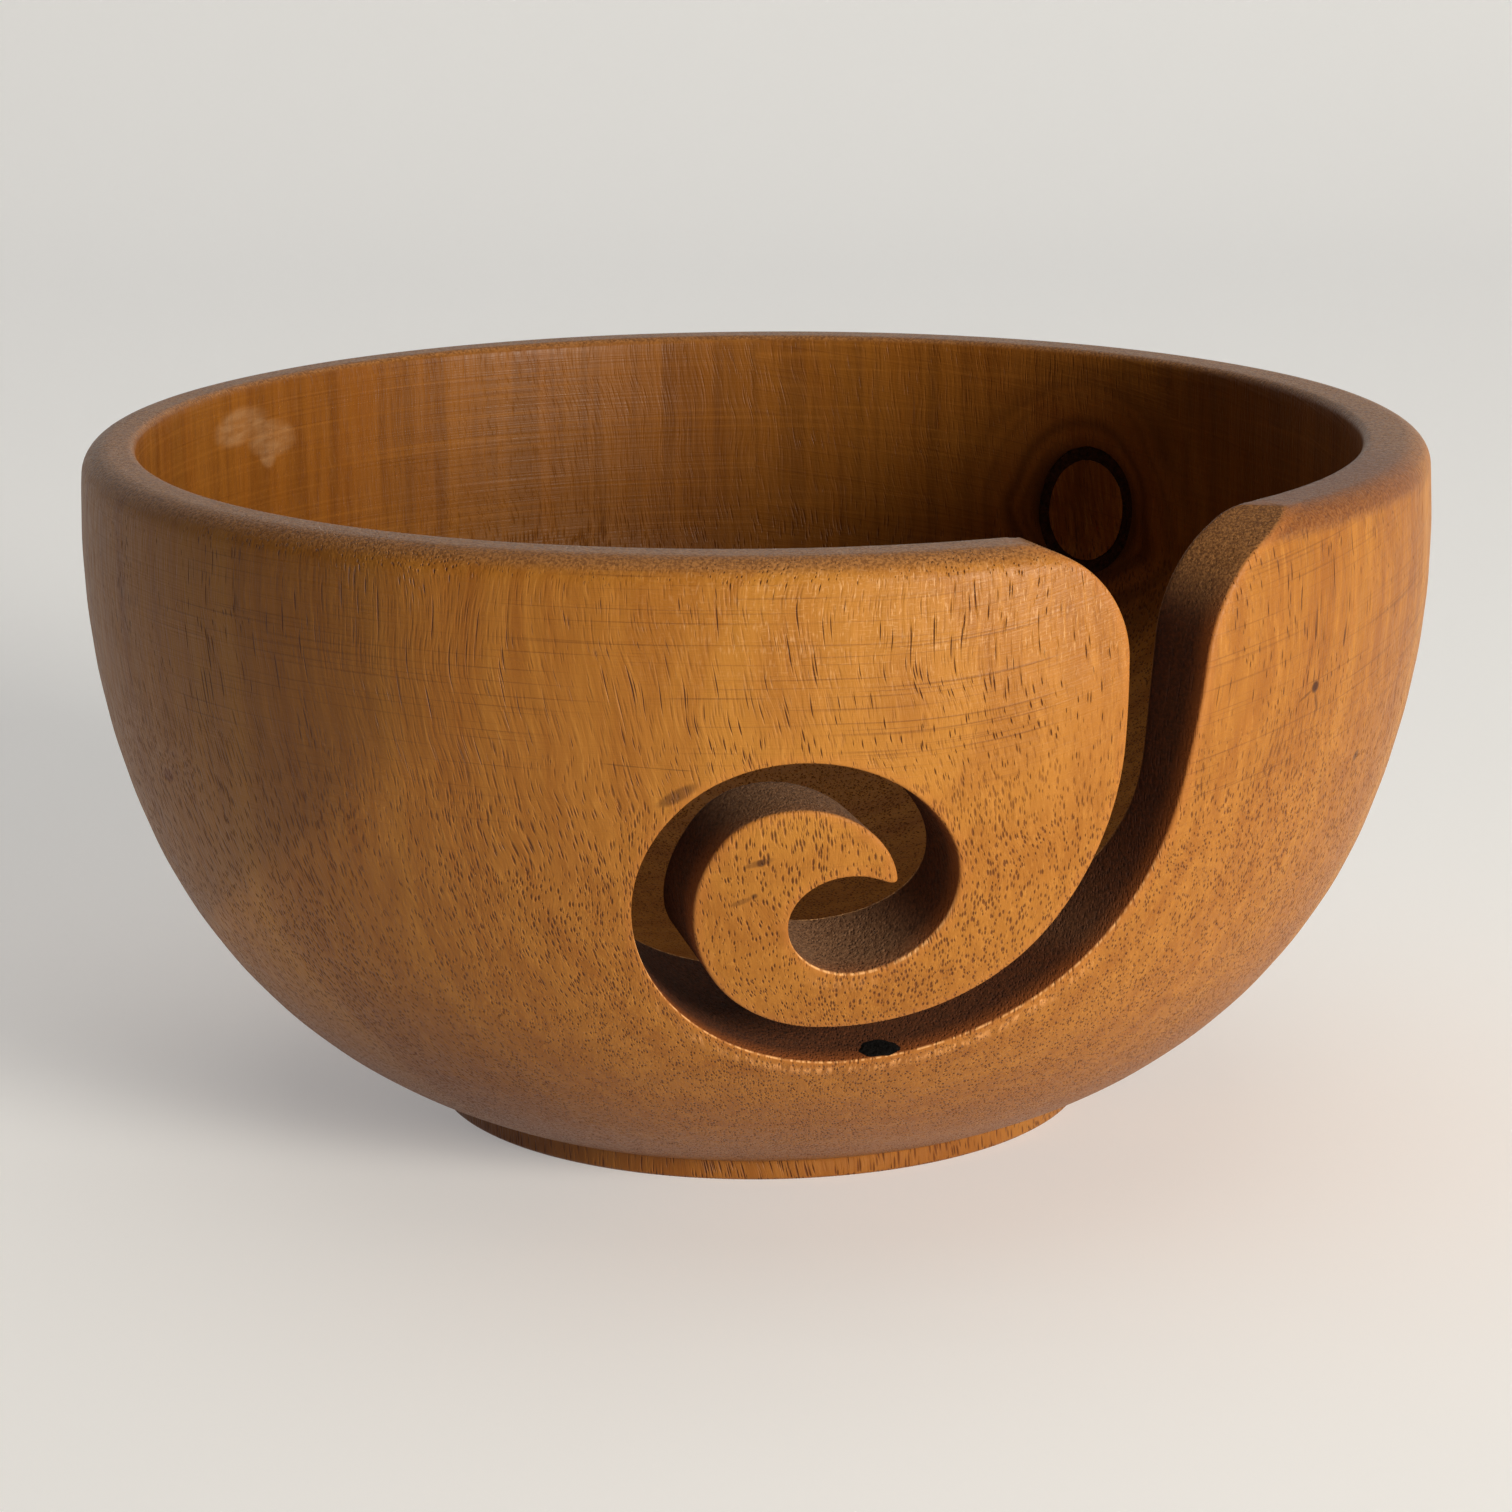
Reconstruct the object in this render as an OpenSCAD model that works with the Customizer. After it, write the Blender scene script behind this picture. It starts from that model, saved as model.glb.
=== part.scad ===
// Lathe-turned wooden yarn bowl with a spiral yarn slot, in millimetres.
// The origin is the centre of the foot's underside, +Z is up and the slot faces -Y.

/* [Outside of the bowl] */
// Widest diameter, across the belly
bowl_d = 152.4; // [150:0.2:158]
// Height of the rim above the table
bowl_h = 77; // [74:0.5:80]
// Height of the widest part of the belly
belly_z = 67.3; // [64:0.1:70]
// Radius of the upper curve of the outline
upper_r = 90; // [84:1:100]
// Radius of the lower curve of the outline
lower_r = 57; // [54:1:60]
// Height at which the upper and lower curves meet
join_z = 34.5; // [32:0.5:37]
// Rounding of the rim's outer edge
rim_outer_r = 3; // [1:0.25:3.5]
// Rounding of the rim's inner edge
rim_inner_r = 1; // [0.4:0.1:1.5]

/* [Foot] */
// Diameter of the foot
foot_d = 75.4; // [60:0.2:76]
// Height of the foot
foot_h = 2.6; // [2:0.1:4]
// Bevel round the foot's lower edge
foot_bevel = 0.5; // [0.2:0.1:1]

/* [Hollow] */
// Radius of the hollow at the rim
hollow_r = 69.1; // [66:0.1:70]
// Height above which the hollow's wall stands straight up
straight_z = 53.7; // [52:0.1:57]
// Radius of the curve from the wall down to the floor
curve_r = 22.5; // [18:0.5:28]
// Height of the middle of the floor above the table
floor_z = 14; // [10:0.5:18]
// Distance from the bowl's axis to the hollow's axis, towards -X
hollow_shift = 0.8; // [0:0.1:1.5]

/* [Yarn slot] */
// Place of the middle of the slot pattern across the bowl
slot_x = 20; // [17:0.5:23]
// Distance of the middle of the slot pattern in front of the bowl's axis
slot_front = 69; // [67:0.5:71]
// Height of the middle of the slot pattern
slot_z = 45; // [43:0.5:46]
// Turn of the cut away from the front, in degrees
slot_turn = 35; // [31:1:38]
// Slope of the cut, which rises inwards, in degrees
slot_tilt = 17; // [13:1:20]
// Distance at which the lines of the cut would meet, inside the bowl
meet_l = 180; // [150:5:260]

/* [Knot in the back wall] */
// Direction of the knot, in degrees from the back towards +X
knot_turn = 37.5; // [25:0.5:50]
// Height of the knot's middle
knot_z = 56.8; // [48:0.2:60]
// Radius of the knot's wood
knot_r = 5.8; // [4:0.1:7]
// Thickness of the bark round the knot
bark_t = 1.6; // [0.8:0.1:2.5]

/* [Dark inclusion in the slot] */
// Length of the inclusion, across the slot's lower face
inclusion_l = 4.4; // [3:0.1:4.8]
// Width of the inclusion
inclusion_w = 2.2; // [1.4:0.1:2.4]
// Depth of the inclusion in the slot's lower face
inclusion_depth = 1.4; // [0.8:0.1:2]

/* [Hidden] */

// Fineness of round shapes, and the largest turn of one facet of the outlines and of the slot, in degrees
$fn = 180;
outline_facet = 4;
slot_facet = 6;
// A length and a height that reach past the bowl on every side
past = 100;
belly_r = bowl_d / 2;
wood = [0.72, 0.46, 0.22];
bark = [0.10, 0.06, 0.04];

// Centres of the two curves of the outline. They lie on one line, so the curves meet smoothly.
upper_c = [belly_r - upper_r, belly_z];
join_turn = asin((join_z - belly_z) / upper_r);
lower_c = upper_c + (upper_r - lower_r) * [cos(join_turn), sin(join_turn)];
foot_turn = asin((foot_h - lower_c[1]) / lower_r);

// Centre of the rim's outer rounding, which touches both the outline and the top of the rim
rim_c = [upper_c[0] + sqrt(pow(upper_r - rim_outer_r, 2) - pow(bowl_h - rim_outer_r - belly_z, 2)),
         bowl_h - rim_outer_r];
rim_turn = asin((rim_c[1] - upper_c[1]) / (upper_r - rim_outer_r));

// The floor is part of a sphere, which the curve from the wall touches
curve_c = [hollow_r - curve_r, straight_z];
fall = straight_z - floor_z;
floor_r = (pow(curve_c[0], 2) + pow(fall, 2) - pow(curve_r, 2)) / (2 * (fall - curve_r));
floor_c = [0, floor_z + floor_r];
touch_turn = asin((curve_c[1] - floor_c[1]) / (floor_r - curve_r));

// The slot's edge, walked from the rim's left corner down and round to its right corner.
// Each step is [radius, turn in degrees], with turns to the left positive, or [length, 0] where it is straight.
slot_start = [4, 33, -3];
slot_steps = [
    [12, -87],     // left corner of the rim
    [8.5, 0],      // down the tongue's root
    [42, -26],     // outside of the tongue
    [28.5, -55],
    [12, -59],     // round the tongue's lowest part
    [16.5, -64],
    [9, -142],     // over the top of the tongue
    [0.5, -111],   // tip of the tongue
    [5, -11],      // underside of the tip
    [6, 220],      // small end of the eye
    [11.5, 48],    // floor of the eye
    [11.5, 54],    // right side of the eye
    [15, 113],     // over the top of the spiral
    [20, 139],     // left side and bottom of the spiral
    [39.5, 65],    // sweep up to the right
    [14.5, 0],     // right side of the straight run
    [14.5, -54],   // right corner of the rim
    [26, -24]      // out along the rim
];

// How far the cut reaches in and out from the pattern's middle, and how far its open top spreads sideways
reach_in = 42;
reach_out = 10;
top_spread = 20;

// The middle of the inclusion in the slot pattern's frame, how far the slot's lower face turns and slopes
// there, and the turn of the inclusion on that face
inclusion_place = [-1.6, -24.75, -4.1];
lower_face_turn = 21;
lower_face_slope = 8;
inclusion_turn = -35;

// One step of the walk, from the state [x, y, heading]
function side(turn) = turn < 0 ? -1 : 1;
function turn_centre(s, step) =
    [s[0] - side(step[1]) * step[0] * sin(s[2]), s[1] + side(step[1]) * step[0] * cos(s[2])];
function at_turn(s, step, a) =
    let (c = turn_centre(s, step), h = s[2] + a)
    [c[0] + side(step[1]) * step[0] * sin(h), c[1] - side(step[1]) * step[0] * cos(h), h];
function advance(s, step) = step[1] == 0
    ? [s[0] + step[0] * cos(s[2]), s[1] + step[0] * sin(s[2]), s[2]]
    : at_turn(s, step, step[1]);
function step_points(s, step) =
    let (n = max(1, ceil(abs(step[1]) / slot_facet)))
    [for (i = [1:n]) let (p = step[1] == 0 ? advance(s, step) : at_turn(s, step, step[1] * i / n)) [p[0], p[1]]];
slot_states = [for (i = 0, s = slot_start; i <= len(slot_steps);
                    s = i < len(slot_steps) ? advance(s, slot_steps[i]) : s, i = i + 1) s];
slot_edge = concat([[slot_start[0], slot_start[1]]],
                   [for (i = [0:len(slot_steps) - 1]) each step_points(slot_states[i], slot_steps[i])]);
slot_last = slot_edge[len(slot_edge) - 1];

// Points along an arc, from one direction to another
function arc(centre, r, from, to) =
    let (n = max(1, ceil(abs(to - from) / outline_facet)))
    [for (i = [0:n]) let (a = from + (to - from) * i / n) centre + r * [cos(a), sin(a)]];

// Half of the outline, on the +X side of the axis
module outer_outline() {
    polygon(concat([[0, 0], [foot_d / 2 - foot_bevel, 0], [foot_d / 2, foot_bevel], [foot_d / 2, foot_h]],
                   arc(lower_c, lower_r, foot_turn, join_turn),
                   arc(upper_c, upper_r, join_turn, rim_turn),
                   arc(rim_c, rim_outer_r, rim_turn, 90),
                   [[0, bowl_h]]));
}

// Half of the hollow, which widens at the top round the rim's inner edge
module hollow_outline() {
    rim_in = [hollow_r + rim_inner_r, bowl_h - rim_inner_r];
    polygon(concat(arc(floor_c, floor_r, -90, touch_turn),
                   arc(curve_c, curve_r, touch_turn, 0),
                   arc(rim_in, rim_inner_r, 180, 90),
                   [[rim_in[0], past], [0, past]]));
}

// The turned blank, before the slot is cut and with the knot still in it
module turned_blank() {
    difference() {
        rotate_extrude() outer_outline();
        translate([-hollow_shift, 0, 0]) rotate_extrude() hollow_outline();
    }
}

// Places its children in the slot pattern's plane, with +Z outwards
module on_slot_plane() {
    translate([slot_x, -slot_front, slot_z]) rotate([90 + slot_tilt, 0, slot_turn]) children();
}

// The cut's lines all lead to one point inside the bowl, so its outline grows evenly outwards
module slot_cut() {
    on_slot_plane()
        translate([0, 0, -reach_in])
            linear_extrude(height = reach_in + reach_out,
                           scale = (meet_l + reach_out) / (meet_l - reach_in))
                scale((meet_l - reach_in) / meet_l)
                    polygon(concat(slot_edge, [[slot_last[0] + top_spread, past], [slot_start[0], past]]));
}

// A round bar through the back wall, where the branch grew
module knot_bar(r) {
    rotate([0, 0, -knot_turn]) translate([0, belly_r / 2, knot_z]) rotate([-90, 0, 0]) cylinder(h = past, r = r);
}

// The pocket in the slot's lower face, a flat-bottomed groove with round ends
module inclusion_pocket() {
    straight = inclusion_l - inclusion_w;
    on_slot_plane()
        translate(inclusion_place) rotate([0, 0, lower_face_turn]) rotate([lower_face_slope - 90, 0, 0])
            rotate([0, 0, inclusion_turn]) translate([0, 0, -inclusion_depth])
                linear_extrude(height = 2 * inclusion_depth) {
                    square([straight, inclusion_w], center = true);
                    for (end = [-1, 1]) translate([end * straight / 2, 0]) circle(d = inclusion_w);
                }
}

module bowl() {
    color(wood) difference() {
        turned_blank();
        slot_cut();
        knot_bar(knot_r + bark_t);
        inclusion_pocket();
    }
}

module wall_knot() {
    color([0.45, 0.24, 0.12]) intersection() {
        turned_blank();
        knot_bar(knot_r);
    }
}

module knot_bark() {
    color(bark) difference() {
        intersection() {
            turned_blank();
            knot_bar(knot_r + bark_t);
        }
        knot_bar(knot_r);
    }
}

module slot_inclusion() {
    color(bark) difference() {
        intersection() {
            turned_blank();
            inclusion_pocket();
        }
        slot_cut();
    }
}

bowl();
wall_knot();
knot_bark();
slot_inclusion();
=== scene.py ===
"""Looks of a turned wooden yarn bowl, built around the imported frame.

The bowl is one lathe-turned block whose fibres stand upright, with a spiral slot sawn through
its front wall. Lengths in this script are millimetres until they are written to a mesh,
except those of the stage, lights and camera, which are metres.
"""

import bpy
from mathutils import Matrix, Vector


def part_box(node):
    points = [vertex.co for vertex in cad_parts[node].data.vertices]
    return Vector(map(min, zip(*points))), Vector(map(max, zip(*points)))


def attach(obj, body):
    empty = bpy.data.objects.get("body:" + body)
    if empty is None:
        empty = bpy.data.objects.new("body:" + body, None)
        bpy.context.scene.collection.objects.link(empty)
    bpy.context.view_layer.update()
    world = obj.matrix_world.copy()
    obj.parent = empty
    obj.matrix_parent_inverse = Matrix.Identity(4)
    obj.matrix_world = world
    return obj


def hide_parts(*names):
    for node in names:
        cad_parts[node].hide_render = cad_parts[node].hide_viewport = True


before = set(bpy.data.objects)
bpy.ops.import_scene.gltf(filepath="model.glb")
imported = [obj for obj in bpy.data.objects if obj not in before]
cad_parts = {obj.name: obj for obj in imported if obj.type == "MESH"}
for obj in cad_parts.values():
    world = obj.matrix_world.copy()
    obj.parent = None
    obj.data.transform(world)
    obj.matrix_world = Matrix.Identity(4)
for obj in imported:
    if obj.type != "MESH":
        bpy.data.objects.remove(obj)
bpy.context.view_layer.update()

import math

import bmesh
import bpy
import numpy as np
from mathutils import Vector
from mathutils.geometry import delaunay_2d_cdt
from mathutils.kdtree import KDTree

MM = 0.001

# ---------------------------------------------------------------- shape: the CAD model's driving sizes
HEIGHT = round(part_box("bowl")[1][2] / MM, 2)
BELLY_R = 76.2
BELLY_Z = 67.3
UPPER_R = 90.0
LOWER_R = 57.0
JOIN_Z = 34.5
RIM_OUTER_R = 3.0
RIM_INNER_R = 1.0
FOOT_R = 37.7
FOOT_H = 2.6
FOOT_BEVEL = 0.5
FOOT_STEP = (0.1, 0.15)  # width and height of the small step above the foot
HOLLOW_R = 69.1
STRAIGHT_Z = 53.7
CURVE_R = 22.5
FLOOR_Z = 14.0
HOLLOW_SHIFT = 0.8

SLOT_MIDDLE = np.array([20.0, -69.0, 45.0])
SLOT_TURN = math.radians(35)
SLOT_TILT = math.radians(17)
MEET_L = 180.0
SLOT_START = (4.0, 33.0, -3.0)
SLOT_STEPS = [  # [radius, turn in degrees] or [length, 0], left turns positive
    (12, -87), (8.5, 0), (42, -26), (28.5, -55), (12, -59), (16.5, -64), (9, -142), (0.5, -111),
    (5, -11), (6, 220), (11.5, 48), (11.5, 54), (15, 113), (20, 139), (39.5, 65), (14.5, 0),
    (14.5, -54), (26, -24)]

KNOT_TURN = math.radians(37.5)
KNOT_Z = 56.8
KNOT_R = 5.8
BARK_T = 1.6

INCLUSION_PLACE = (-1.6, -24.75, -4.1)
LOWER_FACE_TURN = math.radians(21)
LOWER_FACE_SLOPE = math.radians(8)
INCLUSION_TURN = math.radians(-35)
INCLUSION_L = 4.4
INCLUSION_W = 2.2

# ---------------------------------------------------------------- fineness
COLUMNS = 420       # round the bowl
FINE = 12           # finer steps of the profile, for measuring along it
EDGE_PITCH = 0.7    # between points along the slot's edge
EASE = 0.4          # how far the sanded rounding reaches on each side of the slot's edge
FACE_STEPS = 12     # across the slot's cut face
LIP_REACH = 2.6     # how far torn fibres reach below the slot's edge
MEAN_R = 70.0       # radius at which the wall is unrolled
CUT_REACH = (-46.0, 16.0)  # how far the cut lines are followed inwards and outwards
CUT_SAMPLES = 1240  # points tried along each cut line
SHORTEST_CUT = 0.2  # a cut line with less wood than this counts as missing it
LOOP_ROOM = 0.5     # room kept free of grid points round a loop
PLUG_ROOM = 0.02    # play between a plug and its hole


def arc(centre, radius, start, stop, steps):
    a = np.radians(np.linspace(start, stop, steps + 1))
    return np.stack([centre[0] + radius * np.cos(a), centre[1] + radius * np.sin(a)], 1)


def line(a, b, steps):
    return np.linspace(a, b, steps + 1)


def direction(degrees):
    return np.array([math.cos(math.radians(degrees)), math.sin(math.radians(degrees))])


def turned_profile(fine):
    """The closed half outline, from the middle of the foot up the outside and down to the hollow's floor.

    Returns rows of [radius, height, shift towards -X, part], and where each part starts."""
    upper_c = np.array([BELLY_R - UPPER_R, BELLY_Z])
    join = math.degrees(math.asin((JOIN_Z - BELLY_Z) / UPPER_R))
    lower_c = upper_c + (UPPER_R - LOWER_R) * direction(join)
    foot = math.degrees(math.asin((FOOT_H - lower_c[1]) / LOWER_R))
    rim_z = HEIGHT - RIM_OUTER_R
    rim_c = np.array([upper_c[0] + math.sqrt((UPPER_R - RIM_OUTER_R) ** 2 - (rim_z - BELLY_Z) ** 2), rim_z])
    rim = math.degrees(math.asin((rim_z - BELLY_Z) / (UPPER_R - RIM_OUTER_R)))
    curve_c = np.array([HOLLOW_R - CURVE_R, STRAIGHT_Z])
    fall = STRAIGHT_Z - FLOOR_Z
    floor_r = (curve_c[0] ** 2 + fall ** 2 - CURVE_R ** 2) / (2 * (fall - CURVE_R))
    floor_c = np.array([0, FLOOR_Z + floor_r])
    touch = math.degrees(math.asin((curve_c[1] - floor_c[1]) / (floor_r - CURVE_R)))
    inner_top = (HOLLOW_R, HEIGHT - RIM_INNER_R)
    ledge = lower_c + LOWER_R * direction(foot)
    step_low = (FOOT_R, FOOT_H - FOOT_STEP[1])
    step_high = (FOOT_R + FOOT_STEP[0], FOOT_H)
    parts = [
        (line((0, 0), (FOOT_R - FOOT_BEVEL, 0), 18 * fine), 0),
        (arc((FOOT_R - FOOT_BEVEL, FOOT_BEVEL), FOOT_BEVEL, -90, 0, 4 * fine), 0),
        (line((FOOT_R, FOOT_BEVEL), step_low, 3 * fine), 0),
        (line(step_low, step_high, fine), 0),
        (line(step_high, ledge, 2 * fine), 0),
        (arc(lower_c, LOWER_R, foot, join, 52 * fine), 0),
        (arc(upper_c, UPPER_R, join, rim, 34 * fine), 0),
        (arc(rim_c, RIM_OUTER_R, rim, 90, 10 * fine), 0),
        (line((rim_c[0], HEIGHT), (HOLLOW_R + RIM_INNER_R, HEIGHT), 4 * fine), 1),
        (arc((HOLLOW_R + RIM_INNER_R, HEIGHT - RIM_INNER_R), RIM_INNER_R, 90, 180, 5 * fine), 2),
        (line(inner_top, (HOLLOW_R, STRAIGHT_Z), 19 * fine), 2),
        (arc(curve_c, CURVE_R, 0, touch, 17 * fine), 2),
        (arc(floor_c, floor_r, touch, -90, 48 * fine), 2)]
    rows = []
    for points, kind in parts:
        shift = {0: np.zeros(len(points)), 1: np.linspace(0, HOLLOW_SHIFT, len(points)),
                 2: np.full(len(points), HOLLOW_SHIFT)}[kind]
        block = np.column_stack([points, shift])
        rows.append(block if not rows else block[1:])
    starts = np.cumsum([0] + [len(points) - 1 for points, _ in parts])
    return np.vstack(rows), starts


PROFILE, STARTS = turned_profile(FINE)
JOIN_ANGLE = math.asin((JOIN_Z - BELLY_Z) / UPPER_R)
LOWER_CENTRE = (BELLY_R - UPPER_R + (UPPER_R - LOWER_R) * math.cos(JOIN_ANGLE),
                BELLY_Z + (UPPER_R - LOWER_R) * math.sin(JOIN_ANGLE))
S = np.concatenate([[0], np.cumsum(np.hypot(*np.diff(PROFILE[:, :2], axis=0).T))])
ROW_S = S[::FINE]
OUTER = slice(STARTS[1], STARTS[8] + 1)
INNER = slice(STARTS[9], STARTS[13] + 1)
S_RIM_OUT = S[STARTS[8]]


def unevenness(theta, s):
    """The slight waviness that hand sanding leaves, as a radial offset."""
    wave = 0.035 * np.sin(3 * theta + 0.05 * s) + 0.03 * np.sin(7 * theta - 0.11 * s + 1.3)
    wave += 0.018 * np.sin(0.9 * s + 2 * np.sin(2 * theta)) + 0.02 * np.sin(13 * theta + 0.21 * s)
    keep_flat = np.clip((s - S[STARTS[5]]) / 12, 0, 1) * np.clip((S[-1] - s) / 15, 0, 1)
    return wave * keep_flat


def surface(theta, s):
    """Points of the turned surface."""
    r = np.interp(s, S, PROFILE[:, 0]) + unevenness(theta, s)
    z = np.interp(s, S, PROFILE[:, 1])
    shift = np.interp(s, S, PROFILE[:, 2])
    return np.stack([r * np.cos(theta) - shift, r * np.sin(theta), z], -1)


def inside(p):
    """Whether points are in the blank's wood."""
    z = p[..., 2]
    outer = np.interp(z, PROFILE[OUTER, 1], PROFILE[OUTER, 0])
    inner = np.interp(z, PROFILE[INNER, 1][::-1], PROFILE[INNER, 0][::-1], left=0)
    inner = np.where(z > FLOOR_Z, inner, 0)
    r_in = np.hypot(p[..., 0] + HOLLOW_SHIFT, p[..., 1])
    return (z > 0) & (z < HEIGHT) & (np.hypot(p[..., 0], p[..., 1]) < outer) & (r_in > inner)


def through(start, way, reach=CUT_REACH, steps=CUT_SAMPLES):
    """Where lines leave and enter the wood: the distances along each line, or nan where it misses."""
    lam = np.linspace(*reach, steps)
    solid = inside(start[:, None] + lam[None, :, None] * way[:, None])
    hit = solid.any(1)
    leave = steps - 1 - np.argmax(solid[:, ::-1], 1)
    enter = np.array([(np.flatnonzero(~row[:k])[-1] + 1 if (~row[:k]).any() else 0) if ok else 0
                      for row, k, ok in zip(solid, leave, hit)])
    ends = []
    for index, step in ((leave, 1), (enter, -1)):
        a, b = lam[index], lam[np.clip(index + step, 0, steps - 1)]
        for _ in range(30):
            mid = (a + b) / 2
            good = inside(start + mid[:, None] * way)
            a, b = np.where(good, mid, a), np.where(good, b, mid)
        ends.append(np.where(hit, a, np.nan))
    return ends


def place(p):
    """The angle and the distance along the profile of points on the surface."""
    best = np.full(len(p), 1e9)
    s, theta = np.zeros(len(p)), np.zeros(len(p))
    for k in range(len(S)):
        x = p[:, 0] + PROFILE[k, 2]
        gap = (np.hypot(x, p[:, 1]) - PROFILE[k, 0]) ** 2 + (p[:, 2] - PROFILE[k, 1]) ** 2
        near = gap < best
        best[near], s[near] = gap[near], S[k]
        theta[near] = np.arctan2(p[near, 1], x[near])
    return theta, s


# ---------------------------------------------------------------- the slot's edge and its cut lines
SLOT_X = np.array([math.cos(SLOT_TURN), math.sin(SLOT_TURN), 0])
SLOT_OUT = np.array([math.sin(SLOT_TURN) * math.cos(SLOT_TILT), -math.cos(SLOT_TURN) * math.cos(SLOT_TILT),
                     -math.sin(SLOT_TILT)])
SLOT_Y = np.cross(SLOT_OUT, SLOT_X)
MEETING = SLOT_MIDDLE - MEET_L * SLOT_OUT


def slot_plane(uv):
    return SLOT_MIDDLE + uv[..., :1] * SLOT_X + uv[..., 1:2] * SLOT_Y


def slot_edge(offset, lead=9.0):
    """The walk along the slot's edge, moved into the wood by offset, and run on past the rim's corners."""
    x, y, h = SLOT_START[0], SLOT_START[1], math.radians(SLOT_START[2])
    x, y = x - lead * math.cos(h) + offset * math.sin(h), y - lead * math.sin(h) - offset * math.cos(h)
    points = [(x, y)]
    for size, turn in [(lead, 0)] + SLOT_STEPS + [(lead, 0)]:
        if turn == 0:
            n = math.ceil(size / EDGE_PITCH)
            for _ in range(n):
                x, y = x + size / n * math.cos(h), y + size / n * math.sin(h)
                points.append((x, y))
            continue
        side = math.copysign(1, turn)
        n = max(4, math.ceil(size * math.radians(abs(turn)) / EDGE_PITCH))
        r = size + side * offset
        cx, cy = x - side * r * math.sin(h), y + side * r * math.cos(h)
        for _ in range(n):
            h += math.radians(turn) / n
            x, y = cx + side * r * math.sin(h), cy - side * r * math.cos(h)
            points.append((x, y))
    return np.array(points)


def cut_lines(offset):
    start = slot_plane(slot_edge(offset))
    way = start - MEETING
    way /= np.linalg.norm(way, axis=1)[:, None]
    leave, enter = through(start, way)
    return start, way, leave, enter


# ---------------------------------------------------------------- mesh with openings
class Skin:
    """Vertices, faces and one value per vertex for each attribute."""

    def __init__(self):
        self.points, self.faces, self.marks = [], [], []

    def add(self, points, mark=(0, 0)):
        first = len(self.points)
        points = np.atleast_2d(points)
        self.points.extend(map(tuple, points))
        self.marks.extend([mark] * len(points))
        return list(range(first, first + len(points)))

    def below_edge(self):
        """1 just below the slot's edge, falling to 0 at a little distance."""
        edge = [k for k, mark in enumerate(self.marks) if mark == (0, 1)]
        tree = KDTree(len(edge))
        for k in edge:
            tree.insert(self.points[k], k)
        tree.balance()
        values = np.zeros(len(self.points))
        for k, (p, mark) in enumerate(zip(self.points, self.marks)):
            if mark != (0, 0) or not edge:
                continue
            nearest, _, distance = tree.find(p)
            if 0 < distance < LIP_REACH:
                values[k] = (1 - distance / LIP_REACH) * max(0.0, (nearest.z - p[2]) / distance)
        return values

    def object(self, name, smooth_angle=50):
        mesh = bpy.data.meshes.new(name)
        mesh.from_pydata([tuple(c * MM for c in p) for p in self.points], [], self.faces)
        for key, values in zip(("cut", "ease", "lip"), (*zip(*self.marks), self.below_edge())):
            layer = mesh.attributes.new(key, "FLOAT", "POINT")
            layer.data.foreach_set("value", [float(v) for v in values])
        bm = bmesh.new()
        bm.from_mesh(mesh)
        bmesh.ops.delete(bm, geom=[v for v in bm.verts if not v.link_faces], context="VERTS")
        bmesh.ops.recalc_face_normals(bm, faces=bm.faces)
        for face in bm.faces:
            face.smooth = True
        for edge in bm.edges:
            edge.smooth = not edge.is_manifold or edge.calc_face_angle(0) < math.radians(smooth_angle)
        bm.to_mesh(mesh)
        bm.free()
        obj = bpy.data.objects.new(name, mesh)
        bpy.context.collection.objects.link(obj)
        return obj


def in_loop(points, loop):
    """Whether 2-D points are inside a closed loop."""
    x, y = points[:, :1], points[:, 1:]
    x1, y1 = loop[:, 0], loop[:, 1]
    x2, y2 = np.roll(x1, -1), np.roll(y1, -1)
    crosses = ((y1 > y) != (y2 > y)) & (x < (x2 - x1) * (y - y1) / np.where(y2 == y1, 1e-12, y2 - y1) + x1)
    return crosses.sum(1) % 2 == 1


def unroll(theta, s):
    """Flat coordinates of the surface, for laying out triangles."""
    return np.stack([theta * MEAN_R, s], -1)


def fill(skin, grid, window, loops):
    """Fills a window of the grid with triangles around closed loops of (theta, s, index)."""
    c0, c1, r0, r1 = window
    theta = 2 * np.pi * (np.arange(c0, c1 + 1)) / COLUMNS
    ids, flat, edges = [], [], []
    border = {}
    loops_flat = [unroll(lp[:, 0], lp[:, 1]) for lp in loops]
    every = np.vstack(loops_flat)
    for r in range(r0, r1 + 1):
        row = unroll(theta, np.full(len(theta), ROW_S[r]))
        gap = np.sqrt(((row[:, None] - every[None]) ** 2).sum(2)).min(1)
        void = np.zeros(len(row), bool)
        for lp in loops_flat:
            void |= in_loop(row, lp)
        for c in range(c0, c1 + 1):
            rim = r in (r0, r1) or c in (c0, c1)
            if rim or (gap[c - c0] > LOOP_ROOM and not void[c - c0]):
                if rim:
                    border[(r, c)] = len(ids)
                ids.append(grid[r][c % COLUMNS])
                flat.append(row[c - c0])
    walk = [(r0, c) for c in range(c0, c1)] + [(r, c1) for r in range(r0, r1)]
    walk += [(r1, c) for c in range(c1, c0, -1)] + [(r, c0) for r in range(r1, r0, -1)]
    edges += [(border[a], border[b]) for a, b in zip(walk, walk[1:] + walk[:1])]
    for lp, lf in zip(loops, loops_flat):
        first = len(ids)
        ids.extend(int(i) for i in lp[:, 2])
        flat.extend(lf)
        edges += [(first + k, first + (k + 1) % len(lf)) for k in range(len(lf))]
    flat = np.array(flat)
    out, _, tris, origin, _, _ = delaunay_2d_cdt([Vector(p) for p in flat], edges, [], 0, 1e-6, True)
    where = [ids[o[0]] for o in origin]
    out = np.array([tuple(p) for p in out])
    tris = np.array(tris)
    middle = out[tris].mean(1)
    void = np.zeros(len(tris), bool)
    for lf in loops_flat:
        void |= in_loop(middle, lf)
    skin.faces.extend([tuple(where[i] for i in t) for t in tris[~void]])


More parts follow.
